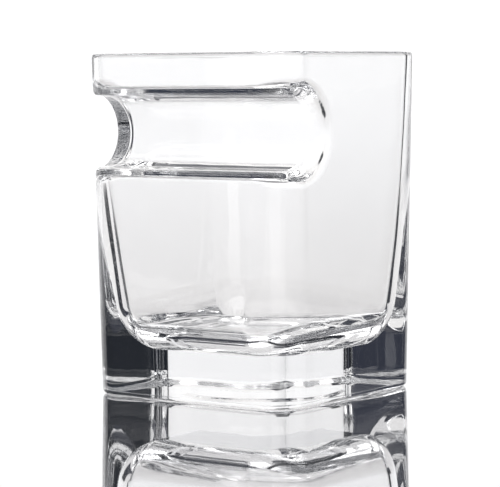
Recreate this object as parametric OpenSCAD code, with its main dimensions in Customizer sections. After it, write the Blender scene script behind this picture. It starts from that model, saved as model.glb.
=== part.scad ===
// Square whiskey tumbler with a cigar channel pressed into one face.
// One piece of clear glass, in mm. It stands on z = 0 and the channel runs along X across the -Y face.

/* [Outside] */
// overall height
height = 95; // [80:0.5:120]
// width across the flats at the foot
foot_w = 67.5; // [60:0.5:82]
// width across the flats at the rim
rim_w = 71.7; // [62:0.1:88]
// corner radius at the foot, seen from above
corner_r = 10.5; // [8:0.25:14]
// rounding of the bottom edge
foot_round = 1.4; // [0.8:0.1:3]
// rounding of the rim's outer edge
rim_round = 1.1; // [0.4:0.1:1.4]

/* [Bowl] */
// glass under the bowl
floor_t = 12.8; // [8:0.1:20]
// wall at the rim
rim_t = 2.3; // [2:0.1:4]
// wall at the bowl's floor, before the rounding
heel_t = 7.2; // [3:0.1:9]
// corner radius of the bowl, seen from above
bowl_corner_r = 9.5; // [6:0.25:12]
// least glass at the bowl's corners, which can widen their radius
corner_t = 1.9; // [1.4:0.1:3]
// rounding where the bowl's floor meets its walls
bowl_round = 12; // [4:0.5:14]
// chamfer of the rim's inner edge
rim_ease = 0.7; // [0.3:0.1:1]

/* [Cigar channel] */
// width of the channel, which is also the bore at its back
channel_w = 19.8; // [16:0.2:26]
// depth of the channel, measured in from the face
channel_depth = 16.4; // [12:0.2:22]
// how far the channel's axis lies below the rim
channel_drop = 21.6; // [18:0.2:26]
// glass above and below the channel
shelf_t = 1.8; // [1.6:0.1:3]
// glass behind the channel
back_t = 5.4; // [2.4:0.1:6]
// rounding of the two long lips
lip_r = 1.1; // [0.8:0.1:2.5]
// rounding where the channel runs out of the side faces
end_r = 2.8; // [1:0.1:4]

/* [Display] */
// the part to draw

/* [Hidden] */
$fn = 96;
// facets of the posts and discs inside a hull, which only make smooth shells
hull_fn = 48;
arc_steps = 6;
curve_steps = 6;
glass_tint = [0.86, 0.89, 0.93, 0.45];
channel_r = channel_w / 2;
channel_z = height - channel_drop;
// the four corner posts of the outside stand here, so the corners widen with the draft
post_xy = foot_w / 2 - corner_r;
// the outer face's distance from the middle at height z
function face_at(z) = foot_w / 2 + (rim_w - foot_w) / 2 * z / height;
// the channel's axis, as a distance in front of the middle
channel_y = face_at(channel_z) - channel_depth + channel_r;
// how late the wall thickens on its way down: 1 is a straight taper
heel_power = 2.5;
// the bowl wall's distance from the middle at height z: the glass thickens towards the floor
function bowl_at(z) =
    face_at(z) - rim_t - (heel_t - rim_t) * pow((height - z) / (height - floor_t), heel_power);
// the bowl's corner radius at height z: where the outside's corner would leave the wall too thin, it is wider
function bowl_corner_at(z) =
    let (gap = sqrt(2) * (bowl_at(z) - post_xy) - (face_at(z) - post_xy))
    max(bowl_corner_r, (corner_t + gap) / (sqrt(2) - 1));
// how far the rounding at the floor pulls the bowl's wall in at height z
function heel_inset(z) =
    let (up = max(0, min(z - floor_t, bowl_round)))
    bowl_round - sqrt(pow(bowl_round, 2) - pow(bowl_round - up, 2));
// the smallest corner radius of the bowl, at the very floor
least_r = 1;
// thickness of the thin discs inside the bowl's hull
disc = 0.01;
// longer than the body in every direction, for cuts that run right through
reach = rim_w;
// cuts pass a surface by this much
over = 1;

// points on a quarter circle of radius r about c, from angle a0 to a1
function arc(c, r, a0, a1) =
    [for (i = [0 : arc_steps]) c + r * [cos(a0 + (a1 - a0) * i / arc_steps), sin(a0 + (a1 - a0) * i / arc_steps)]];

// one corner post: a half profile of [radius, z] points turned about the vertical
module corner_post(profile) {
    rotate_extrude($fn = hull_fn)
        polygon(profile);
}

// the tumbler's outside, before the channel is cut: four corner posts with everything between them filled
module outer_block() {
    top_r = face_at(height) - post_xy;
    profile = concat(
        [[0, 0]],
        arc([corner_r - foot_round, foot_round], foot_round, -90, 0),
        arc([top_r - rim_round, height - rim_round], rim_round, 0, 90),
        [[0, height]]
    );
    hull()
        for (sx = [-1, 1], sy = [-1, 1])
            translate([sx * post_xy, sy * post_xy, 0])
                corner_post(profile);
}

// four thin discs at height z, which are the corners of a rounded square that reaches half from the middle
module corner_discs(half, r, z) {
    for (sx = [-1, 1], sy = [-1, 1])
        translate([sx * (half - r), sy * (half - r), z])
            cylinder(r = r, h = disc, $fn = hull_fn);
}

// the space for the drink, before the channel's wall crosses it
module bowl_space() {
    heel_z = floor_t + bowl_round;
    heel_levels = [for (i = [0 : arc_steps]) heel_z - bowl_round * cos(90 * i / arc_steps)];
    wall_levels = [for (i = [1 : curve_steps]) heel_z + (height - heel_z) * i / curve_steps];
    hull()
        for (z = concat(heel_levels, wall_levels))
            corner_discs(bowl_at(z) - heel_inset(z), max(bowl_corner_at(z) - heel_inset(z), least_r), z);
    // the chamfer of the rim's inner edge
    ease_z = height - rim_ease;
    ease_r = bowl_corner_at(height);
    hull() {
        corner_discs(bowl_at(height), ease_r, ease_z);
        corner_discs(bowl_at(height) + rim_ease + over, ease_r + rim_ease + over, height + over);
    }
}

// a trough along X: round at the back with its axis at [-y, z], flat-sided out past the face
module trough(y, r) {
    translate([-reach, -y, channel_z])
        rotate([0, 90, 0])
            cylinder(r = r, h = 2 * reach);
    translate([-reach, -reach, channel_z - r])
        cube([2 * reach, reach - y, 2 * r]);
}

// what the rounding takes off a square edge along X: the edge is at the origin, glass lies at +Y and +side*Z
module lip_cut(side) {
    difference() {
        translate([-reach, -over, side > 0 ? -over : -lip_r])
            cube([2 * reach, lip_r + over, lip_r + over]);
        translate([-reach - over, lip_r, side * lip_r])
            rotate([0, 90, 0])
                cylinder(r = lip_r, h = 2 * (reach + over));
    }
}

// both long lips of the channel
module lip_cuts() {
    for (side = [-1, 1]) {
        lip_z = channel_z + side * channel_r;
        translate([0, -face_at(lip_z), lip_z])
            lip_cut(side);
    }
}

// the flare where the channel leaves the +X face, as [distance from the axis, x]
function flare_profile() =
    let (x1 = face_at(channel_z))
    concat(
        [[0, x1 - end_r]],
        [for (p = arc([0, 0], end_r, 180, 90)) [channel_r + end_r + p[0], x1 - end_r + p[1]]],
        [[channel_r + end_r, x1 + over + end_r], [0, x1 + over + end_r]]
    );

// rounds the edge where the channel runs out of the +X face
module end_flare() {
    translate([0, -channel_y, channel_z]) {
        rotate([0, 90, 0])
            rotate_extrude()
                polygon(flare_profile());
        for (side = [0, 1])
            mirror([0, 0, side])
                rotate([90, 0, 0])
                    linear_extrude(height = reach)
                        polygon([for (p = flare_profile()) [p[1], p[0]]]);
    }
}

// everything that the channel removes from the outside
module channel_cut() {
    trough(channel_y, channel_r);
    lip_cuts();
    end_flare();
    mirror([1, 0, 0]) end_flare();
}

// the glass kept around the channel, where it crosses the bowl
module channel_jacket() {
    trough(channel_y - (back_t - shelf_t), channel_r + shelf_t);
}

module glass_body() {
    color(glass_tint)
        difference() {
            outer_block();
            difference() {
                bowl_space();
                channel_jacket();
            }
            channel_cut();
        }
}

glass_body();
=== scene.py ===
"""Square whiskey tumbler with a cigar channel: one piece of clear glass on a pale, polished floor."""

import math

import bmesh
import bpy
import numpy as np
from mathutils import Matrix, Vector


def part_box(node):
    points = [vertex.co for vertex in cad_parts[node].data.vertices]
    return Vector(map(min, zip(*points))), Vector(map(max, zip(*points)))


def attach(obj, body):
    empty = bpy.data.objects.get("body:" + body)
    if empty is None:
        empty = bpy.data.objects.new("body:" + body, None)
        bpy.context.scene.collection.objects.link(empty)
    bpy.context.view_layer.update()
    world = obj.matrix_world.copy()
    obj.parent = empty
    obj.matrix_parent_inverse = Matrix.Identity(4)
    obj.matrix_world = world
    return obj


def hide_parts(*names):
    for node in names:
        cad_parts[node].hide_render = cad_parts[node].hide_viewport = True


MM = 0.001

# the outside; the height and the width of the rim come from the CAD model's box
FOOT_HALF = 33.75 * MM
CORNER_R = 10.5 * MM
FOOT_ROUND = 1.4 * MM
RIM_ROUND = 1.1 * MM

# the bowl: walls that thicken from the rim to the heel, and the corner radius at each end
RIM_T = 2.3 * MM
HEEL_T = 7.2 * MM
HEEL_POWER = 2.5
FLOOR_T = 12.8 * MM
RIM_INNER_R = 9.5 * MM
HEEL_INNER_R = 10.0 * MM
BOWL_ROUND = 12.0 * MM
# the bowl's middle along Y, a little nearer to the channel than the glass's
BOWL_Y = -0.5 * MM

# the cigar channel, and the glass above, below and behind it
CHANNEL_R = 9.9 * MM
CHANNEL_DEPTH = 16.4 * MM
CHANNEL_Z = 73.4 * MM
SHELF_T = 1.8 * MM
BACK_T = 5.4 * MM
LIP_R = 1.1 * MM
# where the channel leaves a side face its edge is rounder, at the bottom and at the top
END_FOOT_R = 2.8 * MM
END_TOP_R = 3.0 * MM
# the rounding turns from lip to end over this range of front-face distance less side-face distance
END_BLEND = (-3 * MM, 5 * MM)
# the rounding where the channel's wall meets the bowl's front wall and its side walls
INNER_ROUND = 1.0 * MM
INNER_SIDE_ROUND = 3.0 * MM
# it turns from one to the other between these distances from the side wall
INNER_BLEND = (9 * MM, 2 * MM)

# the round pressing mark under the foot
MARK_R = 14.5 * MM
MARK_DEPTH = 0.5 * MM
MARK_EDGE = 2.5 * MM
# the faint waves that pressing leaves in every face below the rim's top
WAVE_DEPTH = 0.03 * MM
WAVE_LENGTH = 17.0 * MM

# the glass: upright draw lines and slightly duller patches, with their scales per metre,
# and a tint that deepens with the way through the glass
GLASS_IOR = 1.5
LINE_HEIGHT = 0.01 * MM
LINE_SCALE = 140
LINE_STRETCH = (1, 1, 0.25)
PATCH_SCALE = 55
PATCH_RANGE = (0.45, 0.75)
PATCH_ROUGHNESS = 0.012
TINT_COLOR = (0.858, 0.863, 0.87, 1)
TINT_DENSITY = 12.0

# the grid that the glass is sampled on
CELL = 0.8 * MM

# the photographer's place, in degrees and metres
CAMERA_AZIMUTH = 36.0
CAMERA_DISTANCE = 0.6435
CAMERA_HEIGHT = 0.0893
CAMERA_AIM_Z = 0.0413
CAMERA_AIM_LEFT = 0.00135
CAMERA_ROLL = -0.46
CAMERA_LENS = 164.7

# the floor, in metres; it lies a hair below the glass, so that the two never share a plane
FLOOR_GAP = 0.05 * MM
FLOOR_RADIUS = 6
FLOOR_COLOR = (0.80, 0.80, 0.81, 1)
FLOOR_METALLIC = 0.97
FLOOR_ROUGHNESS = 0.02

# the lamp overhead, in metres and watts
LAMP_SIZE = 1.6
LAMP_HEIGHT = 1.8
LAMP_POWER = 18

# the cards in the studio as (azimuth from, azimuth to, elevation from, elevation to), in degrees,
# with the azimuth turned from +Y towards +X
DARK_CARDS = [
    (8, 115, -90, 32),
    (115, 155, -90, 6),
    (-128, -100, -90, 11),
    (-84, -64, 12, 52),
    (0, 45, 12, 50),
]
SLATE_CARDS = [
    (155, 200, -90, 32),
    (-200, -98, -90, 50),
]
# how wide the soft edge of a card is, in degrees
CARD_SOFT = 3.0
# the slate cards have one shade
SLATE = (0.035, 0.04, 0.06, 1)
# the dark cards and the studio turn from LOW to HIGH between the two elevations of FADE, in degrees
CARD_LOW = (0.012, 0.015, 0.021, 1)
CARD_HIGH = (0.04, 0.045, 0.065, 1)
CARD_FADE = (14, 44)
STUDIO_LOW = (1.22, 1.22, 1.23, 1)
STUDIO_HIGH = (1.12, 1.105, 1.095, 1)
STUDIO_FADE = (3, 16)

# light passes many faces on its way through the glass
LIGHT_BOUNCES = 48


# ---------------------------------------------------------------- the glass, as a field

def overlap(a, b, r):
    """The overlap of two solids given by their distances, with the edge between them rounded to radius r."""
    return np.minimum(np.maximum(a, b), -r) + np.hypot(np.maximum(a + r, 0), np.maximum(b + r, 0))


def smooth_step(v, lo, hi):
    """0 where v is lo, 1 where it is hi, with a smooth rise between."""
    t = np.clip((v - lo) / (hi - lo), 0, 1)
    return t * t * (3 - 2 * t)


def waves(x, y, z):
    """A smooth, slightly irregular pattern between 0 and 1."""
    k = 2 * math.pi / WAVE_LENGTH
    slow = np.sin(k * (z + 0.3 * x) + 1.1) * np.sin(0.63 * k * (x - y) + 0.4)
    fast = np.sin(1.7 * k * (y + 0.4 * z)) * np.sin(1.3 * k * (x + 0.2 * z) + 2.0)
    return 0.5 + 0.3 * slow + 0.2 * fast


def rounded_square(x, y, half, corner):
    """Distance from a square with rounded corners, seen from above."""
    qx = np.abs(x) - (half - corner)
    qy = np.abs(y) - (half - corner)
    outside = np.hypot(np.maximum(qx, 0), np.maximum(qy, 0))
    return outside + np.minimum(np.maximum(qx, qy), 0) - corner


class Tumbler:
    """The distance field of the glass: negative inside it, zero on its surface."""

    def __init__(self, rim_half, height):
        self.rim_half = rim_half
        self.height = height
        self.post = FOOT_HALF - CORNER_R
        self.axis_y = -(self.face(CHANNEL_Z) - CHANNEL_DEPTH + CHANNEL_R)

    def face(self, z):
        """How far the outer faces stand from the middle at height z."""
        return FOOT_HALF + (self.rim_half - FOOT_HALF) * z / self.height

    def down(self, z):
        """How far down the bowl height z is: 0 at the rim, 1 at the floor."""
        return np.clip((self.height - z) / (self.height - FLOOR_T), 0, 1)

    def bowl_wall(self, z):
        """How far the inner faces stand from the middle at height z."""
        return self.face(z) - RIM_T - (HEEL_T - RIM_T) * self.down(z) ** HEEL_POWER

    def trough(self, y, z, axis_y, r):
        """Distance from a trough along X that is round at the back and open to the front."""
        return np.hypot(np.maximum(y - axis_y, 0), z - CHANNEL_Z) - r

    def outside(self, x, y, z):
        """Distance from the glass's outside, with the channel cut into it."""
        half = self.face(z)
        block = rounded_square(x, y, half, half - self.post)
        mark = MARK_DEPTH * smooth_step(MARK_R - np.hypot(x, y), 0, MARK_EDGE)
        block = overlap(block, mark - z, FOOT_ROUND)
        up = smooth_step(z, CHANNEL_Z - CHANNEL_R, CHANNEL_Z + CHANNEL_R)
        end_r = END_FOOT_R + (END_TOP_R - END_FOOT_R) * up
        from_front = half + y
        from_side = half - np.abs(x)
        edge = LIP_R + (end_r - LIP_R) * smooth_step(from_front - from_side, *END_BLEND)
        return overlap(block, -self.trough(y, z, self.axis_y, CHANNEL_R), edge)

    def bowl(self, x, y, z):
        """Distance from the space for the drink, which goes round the channel's wall."""
        half = self.bowl_wall(z)
        corner = RIM_INNER_R + (HEEL_INNER_R - RIM_INNER_R) * self.down(z)
        space = rounded_square(x, y - BOWL_Y, half, corner)
        space = overlap(space, FLOOR_T - z, BOWL_ROUND)
        jacket = self.trough(y, z, self.axis_y + BACK_T - SHELF_T, CHANNEL_R + SHELF_T)
        near_side = smooth_step(half - np.abs(x), *INNER_BLEND)
        return overlap(space, -jacket, INNER_ROUND + (INNER_SIDE_ROUND - INNER_ROUND) * near_side)

    def __call__(self, p):
        """The field at points p."""
        x, y, z = p[..., 0], p[..., 1], p[..., 2]
        wall = np.maximum(self.outside(x, y, z), -self.bowl(x, y, z))
        return overlap(wall + WAVE_DEPTH * waves(x, y, z), z - self.height, RIM_ROUND)

    def slope(self, p, h=1e-5):
        """The field's gradient at points p."""
        out = np.empty_like(p)
        for axis in range(3):
            step = np.zeros(3)
            step[axis] = h
            out[:, axis] = (self(p + step) - self(p - step)) / (2 * h)
        return out


# ---------------------------------------------------------------- the field's surface, as quads

def grid_points(lo, hi, cell):
    """The corners of the cells of a grid that reaches past the box from lo to hi."""
    axes = [np.arange(lo[k] - 1.5 * cell, hi[k] + 2 * cell, cell) for k in range(3)]
    return np.stack(np.meshgrid(*axes, indexing="ij"), axis=-1)


def crossing_centres(points, values, cells):
    """The mean of the places where the surface crosses the edges of each cell that it passes through."""
    total = np.zeros((len(cells), 3))
    count = np.zeros((len(cells), 1))
    corners = [np.array(c) for c in np.ndindex(2, 2, 2)]
    for a in corners:
        for axis in range(3):
            if a[axis]:
                continue
            b = a.copy()
            b[axis] = 1
            ia, ib = tuple((cells + a).T), tuple((cells + b).T)
            va, vb = values[ia][:, None], values[ib][:, None]
            cut = (va < 0) != (vb < 0)
            t = np.where(cut, va / np.where(cut, va - vb, 1), 0)
            total += np.where(cut, points[ia] + t * (points[ib] - points[ia]), 0)
            count += cut
    return total / count


def surface_quads(inside, index):
    """Four cells meet at every grid edge that the surface cuts: each such edge gives one quad."""
    quads = []
    for axis in range(3):
        u, v = (axis + 1) % 3, (axis + 2) % 3
        here = np.moveaxis(inside, (axis, u, v), (0, 1, 2))
        cell = np.moveaxis(index, (axis, u, v), (0, 1, 2))
        first, second = here[:-1, 1:-1, 1:-1], here[1:, 1:-1, 1:-1]
        ring = np.stack([cell[:, :-1, :-1], cell[:, 1:, :-1], cell[:, 1:, 1:], cell[:, :-1, 1:]], axis=-1)
        quads.append(ring[first & ~second])
        quads.append(ring[~first & second][:, ::-1])
    return np.concatenate(quads)


def polish(field, points, cell, rounds=4):
    """Moves each point onto the surface along the field's slope."""
    for _ in range(rounds):
        slope = field.slope(points)
        step = field(points)[:, None] * slope / np.maximum((slope**2).sum(axis=1, keepdims=True), 1e-9)
        far = np.linalg.norm(step, axis=1, keepdims=True)
        points = points - step * np.minimum(1, 0.5 * cell / np.maximum(far, 1e-12))
    return points


def surface_of(field, lo, hi, cell):
    """Points, outward normals and quads of the surface where the field is zero."""
    points = grid_points(lo, hi, cell)
    values = field(points)
    inside = values < 0
    nx, ny, nz = np.array(inside.shape) - 1
    corner_sum = sum(
        inside[i : nx + i, j : ny + j, k : nz + k].astype(int)
        for i, j, k in np.ndindex(2, 2, 2)
    )
    cells = np.argwhere((corner_sum > 0) & (corner_sum < 8))
    index = np.full(corner_sum.shape, -1)
    index[tuple(cells.T)] = np.arange(len(cells))
    verts = polish(field, crossing_centres(points, values, cells), cell)
    normals = field.slope(verts)
    normals /= np.linalg.norm(normals, axis=1, keepdims=True)
    return verts, normals, surface_quads(inside, index)


def glass_mesh(field, lo, hi):
    """The glass as a mesh, with the field's own normals."""
    verts, normals, quads = surface_of(field, lo, hi, CELL)
    mesh = bpy.data.meshes.new("glass_body_visual")
    mesh.from_pydata(verts.tolist(), [], quads.tolist())
    mesh.shade_smooth()
    mesh.normals_split_custom_set_from_vertices(normals.tolist())
    return mesh


# ---------------------------------------------------------------- materials

def glass_material():
    """Clear pressed glass with faint draw lines, a few duller patches and a slight grey tint."""
    mat = bpy.data.materials.new("clear_glass")
    mat.use_nodes = True
    nodes, links = mat.node_tree.nodes, mat.node_tree.links
    shader = nodes["Principled BSDF"]
    shader.inputs["Base Color"].default_value = (1, 1, 1, 1)
    shader.inputs["IOR"].default_value = GLASS_IOR
    shader.inputs["Transmission Weight"].default_value = 1.0
    place = nodes.new("ShaderNodeTexCoord").outputs["Object"]

    def noise(vector, scale, detail):
        texture = nodes.new("ShaderNodeTexNoise")
        texture.inputs["Scale"].default_value = scale
        texture.inputs["Detail"].default_value = detail
        links.new(vector, texture.inputs["Vector"])
        return texture.outputs["Fac"]

    # the draw lines run upright, so their pattern is stretched along Z
    stretch = nodes.new("ShaderNodeMapping")
    stretch.inputs["Scale"].default_value = LINE_STRETCH
    links.new(place, stretch.inputs["Vector"])
    bump = nodes.new("ShaderNodeBump")
    bump.inputs["Strength"].default_value = 1.0
    bump.inputs["Distance"].default_value = LINE_HEIGHT
    links.new(noise(stretch.outputs["Vector"], LINE_SCALE, detail=1.0), bump.inputs["Height"])
    links.new(bump.outputs["Normal"], shader.inputs["Normal"])

    # the duller patches
    dull = nodes.new("ShaderNodeMapRange")
    dull.inputs["From Min"].default_value = PATCH_RANGE[0]
    dull.inputs["From Max"].default_value = PATCH_RANGE[1]
    dull.inputs["To Min"].default_value = 0.0
    dull.inputs["To Max"].default_value = PATCH_ROUGHNESS
    links.new(noise(place, PATCH_SCALE, detail=3.0), dull.inputs["Value"])
    links.new(dull.outputs["Result"], shader.inputs["Roughness"])

    tint = nodes.new("ShaderNodeVolumeAbsorption")
    tint.inputs["Color"].default_value = TINT_COLOR
    tint.inputs["Density"].default_value = TINT_DENSITY
    links.new(tint.outputs["Volume"], nodes["Material Output"].inputs["Volume"])
    return mat


def floor_material():
    """A pale, polished surface that mirrors the glass."""
    mat = bpy.data.materials.new("pale_floor")
    mat.use_nodes = True
    shader = mat.node_tree.nodes["Principled BSDF"]
    shader.inputs["Base Color"].default_value = FLOOR_COLOR
    shader.inputs["Metallic"].default_value = FLOOR_METALLIC
    shader.inputs["Roughness"].default_value = FLOOR_ROUGHNESS
    return mat


# ---------------------------------------------------------------- the studio

def build_floor(material):
    """A large round sheet, just below the height that the tumbler stands at."""
    bm = bmesh.new()
    bmesh.ops.create_circle(bm, cap_ends=True, segments=96, radius=FLOOR_RADIUS)
    mesh = bpy.data.meshes.new("floor")
    bm.to_mesh(mesh)
    bm.free()
    mesh.materials.append(material)
    floor = bpy.data.objects.new("floor", mesh)
    floor.location.z = -FLOOR_GAP
    bpy.context.collection.objects.link(floor)


def build_world():
    """A white studio with dark cards standing round the glass, which draw its dark edges."""
    world = bpy.data.worlds.new("studio")
    bpy.context.scene.world = world
    world.use_nodes = True
    nodes, links = world.node_tree.nodes, world.node_tree.links
    nodes.clear()

    def fill(node, *values):
        """Sets or links the node's inputs in order, and gives its first output."""
        for socket, value in zip(node.inputs, values):
            if isinstance(value, bpy.types.NodeSocket):
                links.new(value, socket)
            else:
                socket.default_value = value
        return node.outputs[0]

    def calc(kind, *values):
        node = nodes.new("ShaderNodeMath")
        node.operation = kind
        return fill(node, *values)

    def blend(factor, a, b):
        """The colour a where the factor is 0, b where it is 1."""
        mix = nodes.new("ShaderNodeMix")
        mix.data_type = "RGBA"
        for name, value in (("Factor", factor), ("A", a), ("B", b)):
            if isinstance(value, bpy.types.NodeSocket):
                links.new(value, mix.inputs[name])
            else:
                mix.inputs[name].default_value = value
        return mix.outputs["Result"]

    split = nodes.new("ShaderNodeSeparateXYZ")
    links.new(nodes.new("ShaderNodeTexCoord").outputs["Generated"], split.inputs[0])
    azimuth = calc("DEGREES", calc("ARCTAN2", split.outputs["X"], split.outputs["Y"]))
    elevation = calc("DEGREES", calc("ARCSINE", split.outputs["Z"]))

    def between(value, low, high):
        """1 from low to high, with soft ends."""
        centre, reach = (low + high) / 2, (high - low) / 2
        step = nodes.new("ShaderNodeMapRange")
        step.interpolation_type = "SMOOTHSTEP"
        distance = calc("ABSOLUTE", calc("SUBTRACT", value, centre))
        return fill(step, distance, reach + CARD_SOFT / 2, reach - CARD_SOFT / 2, 0, 1)

    def covered(cards):
        """How much of a direction the cards hide, from 0 to 1."""
        total = 0.0
        for az_low, az_high, el_low, el_high in cards:
            card = calc("MULTIPLY", between(azimuth, az_low, az_high), between(elevation, el_low, el_high))
            total = calc("MAXIMUM", total, card)
        return total

    def rise(fade, low, high):
        """The colour low that turns into high between two elevations."""
        step = nodes.new("ShaderNodeMapRange")
        return blend(fill(step, elevation, fade[0], fade[1], 0, 1), low, high)

    shade = rise(STUDIO_FADE, STUDIO_LOW, STUDIO_HIGH)
    shade = blend(covered(SLATE_CARDS), shade, SLATE)
    shade = blend(covered(DARK_CARDS), shade, rise(CARD_FADE, CARD_LOW, CARD_HIGH))
    background = nodes.new("ShaderNodeBackground")
    links.new(shade, background.inputs["Color"])
    links.new(background.outputs[0], nodes.new("ShaderNodeOutputWorld").inputs[0])


def build_lights():
    """A large soft lamp overhead."""
    data = bpy.data.lights.new("overhead", "AREA")
    data.shape = "DISK"
    data.size = LAMP_SIZE
    data.energy = LAMP_POWER
    lamp = bpy.data.objects.new("overhead", data)
    lamp.location = (0, 0, LAMP_HEIGHT)
    bpy.context.collection.objects.link(lamp)


def build_camera():
    """The camera at the photographer's place, looking at the glass."""
    a = math.radians(CAMERA_AZIMUTH)
    place = Vector((math.sin(a) * CAMERA_DISTANCE, -math.cos(a) * CAMERA_DISTANCE, CAMERA_HEIGHT))
    target = Vector((-math.cos(a) * CAMERA_AIM_LEFT, -math.sin(a) * CAMERA_AIM_LEFT, CAMERA_AIM_Z))
    data = bpy.data.cameras.new("camera")
    data.lens = CAMERA_LENS
    camera = bpy.data.objects.new("camera", data)
    turn = (target - place).to_track_quat("-Z", "Y").to_matrix().to_4x4()
    roll = Matrix.Rotation(math.radians(CAMERA_ROLL), 4, "Z")
    camera.matrix_world = Matrix.Translation(place) @ turn @ roll
    bpy.context.collection.objects.link(camera)
    bpy.context.scene.camera = camera


def set_render():
    """The Standard view, and enough bounces for light to find its way out of the glass."""
    scene = bpy.context.scene
    scene.view_settings.view_transform = "Standard"
    scene.cycles.max_bounces = LIGHT_BOUNCES
    scene.cycles.transmission_bounces = LIGHT_BOUNCES
    scene.cycles.glossy_bounces = LIGHT_BOUNCES


# ---------------------------------------------------------------- the scene

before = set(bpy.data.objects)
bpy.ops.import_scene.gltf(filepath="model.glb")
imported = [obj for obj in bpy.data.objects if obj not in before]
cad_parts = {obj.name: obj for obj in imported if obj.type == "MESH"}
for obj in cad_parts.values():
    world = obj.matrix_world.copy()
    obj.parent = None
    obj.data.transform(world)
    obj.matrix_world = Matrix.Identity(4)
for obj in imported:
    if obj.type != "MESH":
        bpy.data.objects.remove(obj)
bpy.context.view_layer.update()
low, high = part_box("glass_body")

tumbler = Tumbler(high[0], high[2])
mesh = glass_mesh(tumbler, low, high)
mesh.materials.append(glass_material())
glass = bpy.data.objects.new("glass_body_visual", mesh)
bpy.context.collection.objects.link(glass)
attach(glass, "root")
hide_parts("glass_body")

build_floor(floor_material())
build_world()
build_lights()
build_camera()
set_render()
